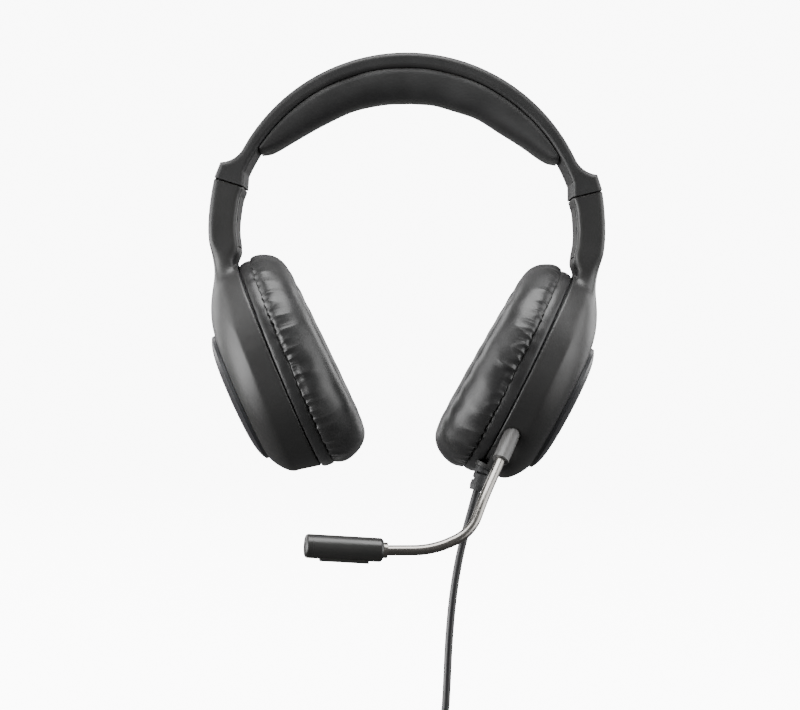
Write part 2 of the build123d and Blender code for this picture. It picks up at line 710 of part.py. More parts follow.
def coil_tie():
    """The strap round the coil's far side."""
    outer_r = coil_outer + COIL_PITCH / 2
    middle = COIL_MEAN_R
    width = COIL_COLUMNS * COIL_PITCH + 0.2 + 2 * TIE_T
    height = coil_high - coil_low + 2 * TIE_T
    inside = Box(14, width - 2 * TIE_T, height - 2 * TIE_T)
    band = Box(12, width, height) - inside
    strap = Pos(COIL_X, COIL_Y + middle, (coil_low + coil_high) / 2) * band
    sweep_room = Circle(outer_r + 0.1) - Circle(outer_r - COIL_COLUMNS * COIL_PITCH - 0.1)
    room = Pos(COIL_X, COIL_Y, coil_low) * extrude(sweep_room, amount=coil_high - coil_low)
    return strap - room


def plug_boot():
    start = tail_route[-1]
    neck = cone_rod(tuple(start), tuple(start + plug_axis * 8), 2.5, 3.4)
    grip = rod(tuple(start + plug_axis * 8), tuple(boot_far), BOOT_R)
    return neck + grip


def plug_jack():
    """The plug's shank and its rounded tip."""
    jack = rod(tuple(boot_far + plug_axis * FIT), tuple(boot_far + plug_axis * JACK_LENGTH), JACK_R)
    tip = cone_rod(tuple(boot_far + plug_axis * JACK_LENGTH),
                   tuple(boot_far + plug_axis * (JACK_LENGTH + 1.2)), JACK_R, 0.7)
    return jack + tip


for name, route in (("cable_lead", lead_route), ("cable_tail", tail_route)):
    nodes[name] = tube(route, CABLE_D / 2)
    path_length = FilletPolyline(*route, radius=turn_radii(route)).length
    ratio = nodes[name].volume / (pi * CABLE_D**2 / 4 * path_length)
    print(name, "length %.0f" % path_length, "volume ratio %.3f" % ratio,
          "arc radii", [round(r, 1) for r in turn_radii(route)])
nodes["cable_coil"] = coil_ring()
nodes["coil_tie"] = coil_tie()
nodes["plug_boot"] = plug_boot()
nodes["plug_jack"] = plug_jack()
print("boom radii", [round(r, 1) for r in turn_radii(boom_route)])

os.makedirs("parts", exist_ok=True)
for name, shape in nodes.items():
    export_step(shape, "parts/" + name + ".step")
print(len(nodes), "nodes")
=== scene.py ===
import json
import math

import bpy
import numpy as np
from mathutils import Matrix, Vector


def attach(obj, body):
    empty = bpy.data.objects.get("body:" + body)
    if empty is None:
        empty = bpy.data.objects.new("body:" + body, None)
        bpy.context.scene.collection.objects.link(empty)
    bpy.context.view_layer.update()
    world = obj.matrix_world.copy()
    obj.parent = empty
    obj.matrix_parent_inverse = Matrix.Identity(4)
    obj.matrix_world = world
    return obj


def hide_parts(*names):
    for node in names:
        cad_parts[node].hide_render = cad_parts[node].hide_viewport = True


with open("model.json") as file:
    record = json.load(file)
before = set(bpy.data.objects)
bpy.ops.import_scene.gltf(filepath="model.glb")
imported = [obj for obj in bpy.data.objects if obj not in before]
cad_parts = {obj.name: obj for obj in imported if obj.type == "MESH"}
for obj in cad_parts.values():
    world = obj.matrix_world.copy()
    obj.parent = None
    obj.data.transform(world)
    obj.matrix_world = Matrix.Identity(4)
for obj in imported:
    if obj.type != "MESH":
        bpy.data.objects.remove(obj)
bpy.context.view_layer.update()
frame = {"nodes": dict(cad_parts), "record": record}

MM = 0.001
nodes = frame["nodes"]

# ---------------------------------------------------------------- shared sizes, in millimetres
# A cup's own coordinates are u up the cup, y forwards and w outwards, from the middle of its rim.
CUP_CENTRE = np.array([56.6, 0.0, -121.6])
CUP_TILT = math.radians(24.5)
EAR_A, EAR_B = 31.5, 22.5                       # half sizes of the ovals along u and y
CUSHION_A, CUSHION_B = 49.9, 41.7
SKIRT_A, SKIRT_B = 50.0, 41.2
PAD_SHIFT = -1.4                                # the cushion and skirt sit this far up the cup
CUSHION_FACE = -24.2
CUSHION_SLOPE = math.tan(math.radians(3.2))     # the cushion is thicker at its bottom
BAFFLE_FACE = -7.0
FLOOR_Z = -302.0
CABLE_D = 3.6

cup_up = np.array([math.sin(CUP_TILT), 0, math.cos(CUP_TILT)])
cup_out = np.array([math.cos(CUP_TILT), 0, -math.sin(CUP_TILT)])
cup_front = np.array([0.0, -1.0, 0.0])


# ================================================================ camera

CAMERA_PLACE = (-0.0012, -1.0, -0.1158)
CAMERA_ROLL = math.radians(1.9)
CAMERA_LENS = 97.8


def make_camera():
    data = bpy.data.cameras.new("camera")
    data.sensor_width = 36
    data.lens = CAMERA_LENS
    data.clip_start = 0.05
    camera = bpy.data.objects.new("camera", data)
    camera.location = CAMERA_PLACE
    camera.rotation_euler = (math.radians(90), -CAMERA_ROLL, 0)
    bpy.context.scene.collection.objects.link(camera)
    bpy.context.scene.camera = camera


make_camera()


# ================================================================ cable

COIL_X, COIL_Y = -20.0, -2.0
COIL_COLUMNS, COIL_LEVELS, COIL_PITCH, COIL_MEAN_R = 3, 4, 3.65, 21.5
COIL_LOW = FLOOR_Z + 1.0
TURN_POINTS = 18
STEP_START = 0.7                            # part of a turn after which it moves to the next slot
LEAD_ROUTE = [
    (35.47, -22.52, -175.10),
    (32.16, -23.22, -188.77),
    (28.6, -24.6, -203.8),
    (26.1, -25.0, -222.0),
    (24.9, -25.3, -243.0),
    (24.7, -26.0, -263.0),
    (24.2, -26.3, -281.5),
    (13.0, -26.8, -295.4),
    (-6.0, -27.05, -299.4),
]
TAIL_ROUTE = [
    (-34.0, -26.6, -289.1),
    (-49.0, -24.4, -293.6),
    (-63.0, -20.0, -297.7),
    (-75.0, -14.0, -297.7),
]


def coil_points():
    """The wound turns: across each level in turn, from the outside in and back out again."""
    slots = []
    for level in range(COIL_LEVELS):
        columns = range(COIL_COLUMNS)
        for column in columns if level % 2 else reversed(columns):
            slots.append((COIL_MEAN_R + (column - 1) * COIL_PITCH, COIL_LOW + (level + 0.5) * COIL_PITCH))
    slots.append(slots[-1])
    points = []
    for turn in range(len(slots) - 1):
        for step in range(TURN_POINTS):
            part = step / TURN_POINTS
            shift = max(0.0, (part - STEP_START) / (1 - STEP_START))
            shift = shift * shift * (3 - 2 * shift)
            radius, height = (a + (b - a) * shift for a, b in zip(slots[turn], slots[turn + 1]))
            angle = -math.pi / 2 - 2 * math.pi * part
            radius /= math.cos(math.pi / TURN_POINTS)
            points.append((COIL_X + radius * math.cos(angle), COIL_Y + radius * math.sin(angle), height))
    return points


def nurbs_tube(name, points, radius):
    """A round tube on a NURBS line. The radius is on the points, so the curve's bounds are true."""
    data = bpy.data.curves.new(name, "CURVE")
    data.dimensions = "3D"
    data.bevel_depth = 1.0
    data.bevel_resolution = 5
    data.resolution_u = 5
    data.use_fill_caps = True
    spline = data.splines.new("NURBS")
    spline.points.add(len(points) - 1)
    for target, point in zip(spline.points, points):
        target.co = (*(Vector(point) * MM), 1)
        target.radius = radius * MM
    spline.order_u = 3
    spline.use_endpoint_u = True
    piece = bpy.data.objects.new(name, data)
    bpy.context.scene.collection.objects.link(piece)
    return piece


def make_cable():
    last_turn = (COIL_X, COIL_Y - COIL_MEAN_R - COIL_PITCH, COIL_LOW + (COIL_LEVELS - 0.5) * COIL_PITCH)
    points = LEAD_ROUTE + coil_points() + [last_turn] + TAIL_ROUTE
    cable = nurbs_tube("cable", points, CABLE_D / 2)
    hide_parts("cable_lead", "cable_coil", "cable_tail")
    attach(cable, "left_cup")
    return cable


cable = make_cable()


# ================================================================ materials

def new_material(name, color, roughness, metallic=0.0, coat=0.0, specular=0.5):
    material = bpy.data.materials.new(name)
    material.use_nodes = True
    tree = material.node_tree
    shader = tree.nodes["Principled BSDF"]
    shader.inputs["Base Color"].default_value = (*color, 1)
    shader.inputs["Roughness"].default_value = roughness
    shader.inputs["Metallic"].default_value = metallic
    shader.inputs["Coat Weight"].default_value = coat
    shader.inputs["Specular IOR Level"].default_value = specular
    return material, tree, shader


def add(tree, kind, **values):
    node = tree.nodes.new(kind)
    for key, value in values.items():
        setattr(node, key, value)
    return node


def scaled(color, factor):
    return tuple(c * factor for c in color)


def noise_texture(tree, scale, detail=4.0, roughness=0.55, stretch=(1, 1, 1)):
    place = add(tree, "ShaderNodeTexCoord")
    mapping = add(tree, "ShaderNodeMapping")
    mapping.inputs["Scale"].default_value = stretch
    tree.links.new(place.outputs["Object"], mapping.inputs["Vector"])
    texture = add(tree, "ShaderNodeTexNoise")
    texture.inputs["Scale"].default_value = scale
    texture.inputs["Detail"].default_value = detail
    texture.inputs["Roughness"].default_value = roughness
    tree.links.new(mapping.outputs["Vector"], texture.inputs["Vector"])
    return texture


def ramp(tree, source, low, high, start=0.3, end=0.7):
    """Maps a texture's value to a colour or a grey between two levels."""
    node = add(tree, "ShaderNodeValToRGB")
    grey = [v if isinstance(v, tuple) else (v, v, v) for v in (low, high)]
    node.color_ramp.elements[0].position = start
    node.color_ramp.elements[1].position = end
    node.color_ramp.elements[0].color = (*grey[0], 1)
    node.color_ramp.elements[1].color = (*grey[1], 1)
    tree.links.new(source, node.inputs["Fac"])
    return node.outputs["Color"]


def bump(tree, shader, height, strength, distance, below=None):
    node = add(tree, "ShaderNodeBump")
    node.inputs["Strength"].default_value = strength
    node.inputs["Distance"].default_value = distance
    tree.links.new(height, node.inputs["Height"])
    if below is not None:
        tree.links.new(below, node.inputs["Normal"])
    tree.links.new(node.outputs["Normal"], shader.inputs["Normal"])
    return node.outputs["Normal"]


def moulded_plastic(name, color, roughness, grain=2600.0, depth=0.00006, edge_highlight=1.6, coat=0.0):
    """Textured moulding: a fine spark-eroded grain, slow changes of gloss, and a painted highlight that
    lightens the base colour on sharp convex edges.
    """
    material, tree, shader = new_material(name, color, roughness, coat=coat)
    slow = noise_texture(tree, 45, 3)
    fine = noise_texture(tree, grain, 2)
    tree.links.new(ramp(tree, slow.outputs["Fac"], roughness - 0.06, roughness + 0.06),
                   shader.inputs["Roughness"])
    # Painted highlight: the base colour is lightened where the geometry's pointiness is high, on sharp convex
    # edges and bevels.
    geometry = add(tree, "ShaderNodeNewGeometry")
    tree.links.new(ramp(tree, geometry.outputs["Pointiness"], color, scaled(color, edge_highlight), 0.52, 0.60),
                   shader.inputs["Base Color"])
    bump(tree, shader, fine.outputs["Fac"], 0.35, depth)
    return material


def leatherette(name, color, roughness, grain=1500.0, coat=0.0):
    """Coated cloth: pebbled grain with finer pores between."""
    material, tree, shader = new_material(name, color, roughness, coat=coat)
    place = add(tree, "ShaderNodeTexCoord")
    cells = add(tree, "ShaderNodeTexVoronoi", feature="DISTANCE_TO_EDGE")
    cells.inputs["Scale"].default_value = grain
    tree.links.new(place.outputs["Object"], cells.inputs["Vector"])
    pores = noise_texture(tree, grain * 2.5, 3)
    slow = noise_texture(tree, 70, 4)
    tree.links.new(ramp(tree, slow.outputs["Fac"], roughness - 0.07, roughness + 0.09),
                   shader.inputs["Roughness"])
    tree.links.new(ramp(tree, slow.outputs["Fac"], scaled(color, 0.8), scaled(color, 1.25)),
                   shader.inputs["Base Color"])
    shader.inputs["Sheen Weight"].default_value = 0.08
    shader.inputs["Sheen Roughness"].default_value = 0.4
    low = bump(tree, shader, pores.outputs["Fac"], 0.12, 0.00004)
    bump(tree, shader, cells.outputs["Distance"], 0.22, 0.00010, low)
    return material


def metal(name, color, roughness, streak=(1, 1, 1), scale=900.0):
    """Drawn or plated metal, with fine streaks in its gloss."""
    material, tree, shader = new_material(name, color, roughness, metallic=1.0)
    lines = noise_texture(tree, scale, 3, stretch=streak)
    tree.links.new(ramp(tree, lines.outputs["Fac"], roughness * 0.8, roughness * 1.25),
                   shader.inputs["Roughness"])
    bump(tree, shader, lines.outputs["Fac"], 0.08, 0.00003)
    return material


def woven(name, color, roughness=0.85, thread=2400.0):
    """Plain woven acoustic cloth: two crossed sets of threads."""
    material, tree, shader = new_material(name, color, roughness)
    place = add(tree, "ShaderNodeTexCoord")
    total = add(tree, "ShaderNodeMath", operation="MAXIMUM")
    for slot, direction in enumerate(("Y", "Z")):
        wave = add(tree, "ShaderNodeTexWave", bands_direction=direction)
        wave.inputs["Scale"].default_value = thread
        wave.inputs["Distortion"].default_value = 0.6
        tree.links.new(place.outputs["Object"], wave.inputs["Vector"])
        tree.links.new(wave.outputs["Fac"], total.inputs[slot])
    tree.links.new(ramp(tree, total.outputs["Value"], scaled(color, 0.5), scaled(color, 1.6)),
                   shader.inputs["Base Color"])
    shader.inputs["Sheen Weight"].default_value = 0.3
    bump(tree, shader, total.outputs["Value"], 0.5, 0.0001)
    return material


materials = {
    "shell": moulded_plastic("shell_plastic", (0.0170, 0.0168, 0.0166), 0.42, edge_highlight=1.5),
    "band": moulded_plastic("band_plastic", (0.0095, 0.0095, 0.0097), 0.50, edge_highlight=1.6),
    "plate": moulded_plastic("plate_plastic", (0.018, 0.018, 0.020), 0.34, edge_highlight=1.5),
    "inner_plastic": moulded_plastic("inner_plastic", (0.012, 0.012, 0.013), 0.55),
    "leatherette": leatherette("ear_leatherette", (0.0160, 0.0160, 0.0162), 0.37),
    "pad_cover": leatherette("pad_leatherette", (0.0100, 0.0100, 0.0102), 0.60),
    "spring_steel": metal("spring_steel", (0.55, 0.55, 0.56), 0.28, (1, 8, 1)),
    "screw_steel": metal("screw_steel", (0.10, 0.10, 0.105), 0.35),
    "cloth": woven("acoustic_cloth", (0.018, 0.018, 0.020)),
    "nylon": moulded_plastic("guide_nylon", (0.55, 0.54, 0.50), 0.45, edge_highlight=1.1),
    "magnet": metal("plated_magnet", (0.40, 0.40, 0.41), 0.30),
    "film": moulded_plastic("diaphragm_film", (0.55, 0.48, 0.33), 0.25, edge_highlight=1.1, coat=0.5),
    "board": moulded_plastic("board_mask", (0.01, 0.10, 0.04), 0.35, edge_highlight=1.1, coat=0.4),
    "sleeve": moulded_plastic("sleeve_plastic", (0.062, 0.061, 0.060), 0.40, edge_highlight=1.3),
    "gunmetal": metal("black_chrome", (0.24, 0.23, 0.215), 0.27),
    "capsule": moulded_plastic("capsule_plastic", (0.0150, 0.0148, 0.0142), 0.30, edge_highlight=1.4),
    "rubber": moulded_plastic("soft_rubber", (0.014, 0.014, 0.015), 0.62, grain=1800, edge_highlight=1.3),
    "pvc": moulded_plastic("cable_pvc", (0.012, 0.012, 0.013), 0.40, grain=900, edge_highlight=1.2),
    "gold": metal("gold_plate", (0.83, 0.58, 0.24), 0.18),
    "red_enamel": moulded_plastic("wire_insulation", (0.30, 0.02, 0.02), 0.4, edge_highlight=1.1),
}


def dress_nodes():
    slot_of = {row["node"]: row["material_slot"] for row in frame["record"]["subparts"]}
    for name, node in nodes.items():
        node.data.materials.clear()
        node.data.materials.append(materials[slot_of[name]])


dress_nodes()
cable.data.materials.append(materials["pvc"])


# ================================================================ soft parts, as grids of points

def smooth_line(corners, count):
    """A smooth line through a polygon's middles, as evenly spaced points."""
    line = np.array(corners, float)
    for _ in range(4):
        first, last = line[:1], line[-1:]
        near = 0.75 * line[:-1] + 0.25 * line[1:]
        far = 0.25 * line[:-1] + 0.75 * line[1:]
        line = np.vstack([first, np.stack([near, far], 1).reshape(-1, line.shape[1]), last])
    along = np.concatenate([[0], np.cumsum(np.linalg.norm(np.diff(line, axis=0), axis=1))])
    even = np.linspace(0, along[-1], count)
    return np.stack([np.interp(even, along, line[:, k]) for k in range(line.shape[1])], 1)


LEAN_RANGE = (-34, 60)     # heights on the cup between which the cushion's face leans


def ring_grid(section, outer, inner, around, face_depth=0.0):
    """A section swept round a cup: its first number runs inwards from the outer oval, its second is w.
    The grid is in cup coordinates: around x across x (u, y, w)."""
    turn = np.linspace(0, 2 * math.pi, around, endpoint=False)[:, None]
    out_u, out_y = outer[0] * np.cos(turn), outer[1] * np.sin(turn)
    in_u, in_y = inner[0] * np.cos(turn), inner[1] * np.sin(turn)
    share = section[None, :, 0] / (outer[0] - inner[0])
    u = out_u + (in_u - out_u) * share
    y = out_y + (in_y - out_y) * share
    w = np.broadcast_to(section[None, :, 1], u.shape).copy()
    if face_depth:
        slope = 1 - CUSHION_SLOPE * np.clip(u, *LEAN_RANGE) / face_depth
        w = BAFFLE_FACE + (w - BAFFLE_FACE) * slope
    return np.stack([u + PAD_SHIFT, y, w], 2)


def closed(grid):
    return np.concatenate([grid, grid[:1]], 0)


def finer(grid, times_around, times_across):
    """The grid's smooth surface, as a uniform cubic B-spline, closed round the ring."""
    def weights(times):
        t = np.arange(times) / times
        powers = [(1 - t) ** 3, 3 * t**3 - 6 * t**2 + 4, -3 * t**3 + 3 * t**2 + 3 * t + 1, t**3]
        return np.stack(powers, 1) / 6

    ring = np.stack([np.roll(grid, 1 - k, 0) for k in range(4)], 1)
    wide = np.einsum("tk,nkmc->ntmc", weights(times_around), ring).reshape(-1, *grid.shape[1:])
    line = np.concatenate([2 * wide[:, :1] - wide[:, 1:2], wide, 2 * wide[:, -1:] - wide[:, -2:-1]], 1)
    spans = grid.shape[1] - 1
    parts = np.stack([line[:, k:k + spans] for k in range(4)], 2)
    out = np.einsum("tk,nmkc->nmtc", weights(times_across), parts).reshape(wide.shape[0], -1, 3)
    return np.concatenate([out, wide[:, -1:]], 1)


def grid_normals(grid):
    """Unit normals, pointing out of a section that runs from the groove over the face."""
    along = np.roll(grid, -1, 0) - np.roll(grid, 1, 0)
    across = np.gradient(grid, axis=1)
    normal = np.cross(along, across)
    return normal / np.linalg.norm(normal, axis=2, keepdims=True)


def arc_length(grid, axis):
    """Length along one direction of a grid, starting at 0, on its middle line for the ring."""
    steps = np.linalg.norm(np.diff(grid, axis=axis), axis=2)
    start = np.zeros((1, steps.shape[1])) if axis == 0 else np.zeros((steps.shape[0], 1))
    return np.concatenate([start, np.cumsum(steps, axis)], axis)


def cup_to_world(grid, side):
    """Cup coordinates in millimetres to metres in the frame; side is 1 for the wearer's left."""
    axes = np.array([cup_up, cup_front, cup_out])
    world = (CUP_CENTRE + grid @ axes) * MM
    return world * np.array([side, 1, 1])


def ring_faces(around, across):
    i, j = np.meshgrid(np.arange(around), np.arange(across - 1), indexing="ij")
    k = (i + 1) % around
    corners = [i * across + j, k * across + j, k * across + j + 1, i * across + j + 1]
    return np.stack(corners, 2).reshape(-1, 4)


def grid_object(name, grid, side, slot):
    """A mesh piece from a ring grid in cup coordinates."""
    around, across = grid.shape[:2]
    world = cup_to_world(grid, side).reshape(-1, 3)
    faces = ring_faces(around, across)
    if side < 0:
        faces = faces[:, ::-1]
    return mesh_object(name, world, faces, slot)


def mesh_object(name, points, faces, slot):
    mesh = bpy.data.meshes.new(name)
    mesh.from_pydata(points.tolist(), [], faces.tolist())
    mesh.shade_smooth()
    mesh.materials.append(materials[slot])
    piece = bpy.data.objects.new(name, mesh)
    bpy.context.scene.collection.objects.link(piece)
    return piece


SIM_SCALE = 0.02       # the simulation runs at 20 times life size, in metres per millimetre
SIM_FRAMES = 20


def inflate(grid, pressure, most):
    """Cloth under pressure, held at both of the section's ends.
    No point moves further than most, in millimetres."""
    around, across = grid.shape[:2]
    faces = ring_faces(around, across)
    mesh = bpy.data.meshes.new("sim")
    mesh.from_pydata((grid.reshape(-1, 3) * SIM_SCALE).tolist(), [], faces.tolist())
    cloth = bpy.data.objects.new("sim", mesh)
    scene = bpy.context.scene
    scene.collection.objects.link(cloth)
    held = [n for n in range(around * across) if n % across in (0, 1, across - 2, across - 1)]
    cloth.vertex_groups.new(name="held").add(held, 1.0, "REPLACE")
    modifier = cloth.modifiers.new("cloth", "CLOTH")
    modifier.settings.quality = 6
    modifier.settings.mass = 0.05
    modifier.settings.bending_stiffness = 0.8
    modifier.settings.use_pressure = True
    modifier.settings.uniform_pressure_force = pressure
    modifier.settings.effector_weights.gravity = 0
    modifier.settings.vertex_group_mass = "held"
    modifier.point_cache.frame_start, modifier.point_cache.frame_end = 1, SIM_FRAMES
    for frame_number in range(1, SIM_FRAMES + 1):
        scene.frame_set(frame_number)
    result = cloth.evaluated_get(bpy.context.evaluated_depsgraph_get()).to_mesh()
    moved = np.empty(around * across * 3)
    result.vertices.foreach_get("co", moved)
    moved = moved.reshape(grid.shape) / SIM_SCALE - grid
    scene.frame_set(1)
    bpy.data.objects.remove(cloth)
    far = np.linalg.norm(moved, axis=2, keepdims=True)
    print("inflated by %.2f mm at most, %.2f on average" % (far.max(), far.mean()))
    return grid + moved * np.minimum(1, most / np.maximum(far, 1e-6))


# ================================================================ creases

CREASE_SWAY = 2.2          # how far a leaning crease wanders along the seam, in millimetres
CREASE_FADE_IN = 1.5


def crease_set(rng, length, spacing, reach, depth, zone):
    """Places, lengths, depths, leans and widths of the creases along a seam.
    zone(share) scales them round the ring."""
    rows, place = [], 0.0
    while place < length:
        strength = zone(place / length)
        rows.append((place, rng.uniform(*reach) * (0.45 + 0.55 * strength), rng.uniform(*depth) * strength,
                     rng.normal(0, 0.9), rng.uniform(0.75, 1.3)))
        place += rng.uniform(*spacing)
    return rows


def crease_height(around, across, length, rows, width):
    """Height of gathered creases that start at across = 0: sharp valleys with puffed sides, fading out."""
    height = np.zeros_like(around)
    for place, reach, depth, lean, wide in rows:
        part = np.clip(across / reach, 0, 1)
        centre = place + lean * part**2 * CREASE_SWAY
        offset = (around - centre + length / 2) % length - length / 2
        spread = width * wide * (0.75 + 1.1 * part)
        fade = (1 - part) ** 1.1 * np.clip(across / CREASE_FADE_IN, 0, 1)
        valley = -np.exp(-np.sqrt((offset / spread) ** 2 + 0.04))
        puff = 0.25 * np.exp(-((np.abs(offset) - 2.6 * spread) / (1.5 * spread)) ** 2)
        height += depth * fade * (valley + puff)
    return height


def ripple(rng, around, across, wave_around, wave_across, count=14):
    """Soft irregular ripples, between about -1 and 1."""
    total = np.zeros_like(around)
    for _ in range(count):
        a = rng.uniform(0.7, 1.4) / wave_around
        b = rng.uniform(-1.0, 1.0) / wave_across
        total += np.sin(2 * math.pi * (a * around + b * across) + rng.uniform(0, 2 * math.pi))
    return total / math.sqrt(count)


# ================================================================ ear cushions and skirts

CUSHION_SECTION = [
    (3.0, -7.3), (1.6, -7.25), (0.2, -7.5), (-0.9, -9.0), (-1.2, -11.5), (-0.9, -14.5), (0.6, -18.6),
    (3.6, -22.3), (7.6, -24.3), (11.6, -24.5), (14.9, -23.6), (17.4, -20.6), (18.6, -16.2), (18.7, -11.5),
    (18.3, -8.4), (17.9, -7.1),
]
SKIRT_SECTION = [
    (2.9, -7.0), (1.6, -6.9), (0.4, -6.6), (-0.3, -5.6), (-0.5, -4.3), (-0.45, -2.8), (-0.2, -1.4),
    (0.3, -0.5), (1.4, -0.35), (2.8, -0.5),
]


SHRINK, PRESSURE, MOST_SWELL = 0.9, 6.0, 2.4
CUSHION_LIP, EAR_LIP, SKIRT_LIP = 2.6, 2.0, 1.8     # from a section's end to where its creases start
GROOVE_DEPTH, GROOVE_START, GROOVE_WIDTH = 1.0, 1.0, 1.1


def long_side(share):
    """1 on the cup's straighter long sides and less at its ends; share 0 is the top."""
    return 0.50 + 0.50 * abs(math.sin(2 * math.pi * share)) ** 0.8


def cushion_base():
    """The cushion's cover before it creases: a slightly smaller ring, blown up as cloth."""
    section = smooth_line(CUSHION_SECTION, 27)
    base = ring_grid(section, (CUSHION_A, CUSHION_B), (EAR_A, EAR_B), 150, BAFFLE_FACE - CUSHION_FACE)
    smaller = base - grid_normals(base) * SHRINK
    smaller[:, :2], smaller[:, -2:] = base[:, :2], base[:, -2:]
    return inflate(smaller, PRESSURE, MOST_SWELL)


def seam_lengths(grid):
    """Lengths round and across a ring grid, and the ring's mean length."""
    around = arc_length(closed(grid), 0)
    length = around[-1].mean()
    return around[:-1] / around[-1] * length, arc_length(grid, 1), length


def creased_cushion(base, seed):
    rng = np.random.default_rng(seed)
    grid = finer(base, 6, 4)
    around, across, length = seam_lengths(grid)
    outer = across - CUSHION_LIP
    inner = across[:, -1:] - across - EAR_LIP
    main = crease_set(rng, length, (2.0, 4.4), (6, 15), (0.50, 1.20), long_side)
    small = crease_set(rng, length, (1.6, 3.2), (2.5, 5), (0.06, 0.16), long_side)
    ear = crease_set(rng, length, (3.0, 6.5), (3, 7), (0.15, 0.4), lambda share: 0.8)
    height = crease_height(around, outer, length, main, 0.72)
    height += crease_height(around, outer, length, small, 0.5)
    height += crease_height(around, inner, length, ear, 0.9)
    near_groove = np.exp(-np.clip(outer, 0, None) / 5.0)
    height += 0.05 * near_groove * ripple(rng, around, across, 1.3, 9.0)
    height += 0.10 * ripple(rng, around, across, 14.0, 22.0, 10)
    height -= GROOVE_DEPTH * np.exp(-np.clip(across - GROOVE_START, 0, None) / GROOVE_WIDTH)
    return grid + grid_normals(grid) * height[:, :, None]


def creased_skirt(seed):
    rng = np.random.default_rng(seed)
    section = smooth_line(SKIRT_SECTION, 25)
    grid = ring_grid(section, (SKIRT_A, SKIRT_B), (SKIRT_A - 10, SKIRT_B - 10), 620)
    around, across, length = seam_lengths(grid)
    from_groove = crease_set(rng, length, (1.6, 3.8), (2.5, 5.5), (0.05, 0.14), long_side)
    from_shell = crease_set(rng, length, (2.4, 5.5), (2.0, 4.5), (0.04, 0.10), long_side)
    height = crease_height(around, across - SKIRT_LIP, length, from_groove, 0.55)
    height += crease_height(around, across[:, -1:] - across - SKIRT_LIP, length, from_shell, 0.6)
    height += 0.05 * ripple(rng, around, across, 9.0, 8.0, 10)
    return grid + grid_normals(grid) * height[:, :, None]


def make_pads():
    base = cushion_base()
    for side, body, name, seed in ((1, "left_cup", "left", 11), (-1, "right_cup", "right", 23)):
        cushion = grid_object(name + "_cushion", creased_cushion(base, seed), side, "leatherette")
        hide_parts(name + "_ear_cushion")
        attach(cushion, body)
        skirt = grid_object(name + "_skirt", creased_skirt(seed + 5), side, "leatherette")
        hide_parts(name + "_pad_skirt")
        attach(skirt, body)


make_pads()


# ================================================================ cup shells

NECK_TOP, NECK_BOTTOM = -67.0, -108.0       # heights between which the arm is blended into the dome
NECK_FADE_TOP, NECK_FADE_BOTTOM = 10.0, 14.0
RIM_CLEARANCE = (0.8, 5.0)                  # depths behind the rim over which the blend comes in
HEEL = (-78.0, -74.0)                       # heights above which the rim's own edge is blended too
SHELL_VOXEL = 0.5
WELD = 0.01
EDGE_ROUNDS, EDGE_PULL = 5, 0.5
NECK_ROUNDS, NECK_PULL = 210, 0.6


def mesh_arrays(mesh):
    """The mesh's points and the pairs of points that its edges join."""
    points = np.empty(len(mesh.vertices) * 3)
    mesh.vertices.foreach_get("co", points)
    edges = np.empty(len(mesh.edges) * 2, int)
    mesh.edges.foreach_get("vertices", edges)
    return points.reshape(-1, 3), edges.reshape(-1, 2)


def relax(points, edges, weight, rounds):
    """Moves each point towards the middle of its neighbours, as far as its weight allows."""
    count = np.bincount(edges.ravel(), minlength=len(points))[:, None]
    for _ in range(rounds):
        total = np.zeros_like(points)
        for axis in range(3):
            total[:, axis] = (np.bincount(edges[:, 0], points[edges[:, 1], axis], len(points))
                              + np.bincount(edges[:, 1], points[edges[:, 0], axis], len(points)))
        points = points + weight * (total / np.maximum(count, 1) - points)
    return points


def ease(value, start, end):
    """0 before start, 1 after end, and a smooth step between."""
    part = np.clip((value - start) / (end - start), 0, 1)
    return part * part * (3 - 2 * part)


def neck_weight(points, side):
    """1 where the arm runs into the dome, falling to 0 along the arm, over the cup and at the rim."""
    high = points[:, 2] / MM
    offset = points / MM * np.array([side, 1, 1]) - CUP_CENTRE
    depth = offset @ cup_out
    fade_in = ease(high, NECK_BOTTOM, NECK_BOTTOM + NECK_FADE_BOTTOM)
    fade_out = 1 - ease(high, NECK_TOP - NECK_FADE_TOP, NECK_TOP)
    return fade_in * fade_out * np.maximum(ease(depth, *RIM_CLEARANCE), ease(high, *HEEL))


def moulded_shell(name, side, body):
    """The cup's shell as one moulding: soft edges, and an arm that runs into the dome."""
    node = nodes[name + "_cup_shell"]
    source = bpy.data.objects.new("source", node.data.copy())
    bpy.context.scene.collection.objects.link(source)
    weld = source.modifiers.new("weld", "WELD")
    weld.merge_threshold = WELD * MM
    remesh = source.modifiers.new("remesh", "REMESH")
    remesh.mode = "VOXEL"
    remesh.voxel_size = SHELL_VOXEL * MM
    dense = bpy.data.meshes.new_from_object(source.evaluated_get(bpy.context.evaluated_depsgraph_get()))
    bpy.data.objects.remove(source)
    points, edges = mesh_arrays(dense)
    points = relax(points, edges, EDGE_PULL, EDGE_ROUNDS)
    points = relax(points, edges, NECK_PULL * neck_weight(points, side)[:, None], NECK_ROUNDS)
    dense.vertices.foreach_set("co", points.ravel())
    dense.materials.clear()
    dense.materials.append(materials["shell"])
    dense.shade_smooth()
    dense.name = name + "_shell"
    piece = bpy.data.objects.new(name + "_shell", dense)
    bpy.context.scene.collection.objects.link(piece)
    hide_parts(name + "_cup_shell")
    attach(piece, body)
    print(name, "shell faces", len(dense.polygons))


moulded_shell("left", 1, "left_cup")
moulded_shell("right", -1, "right_cup")


# ================================================================ band pad

PAD_UNDERSIDE = [(0, 0), (13, -0.9), (24.5, -3.5), (38.5, -10.4), (51.5, -18.2), (60.0, -24.0), (65.5, -26.0)]
PAD_SEAM_R, PAD_SEAM_Z = 79.9, -65.6
PAD_TIP = math.radians(29.5)
PAD_HALF_WIDTH = 15.0
PAD_LENGTH = 190
PAD_STATIONS, PAD_ROUND = 181, 56      # sections along the pad, and points round each
PAD_TIP_START = 0.955                  # share of its half length where a tip starts to close


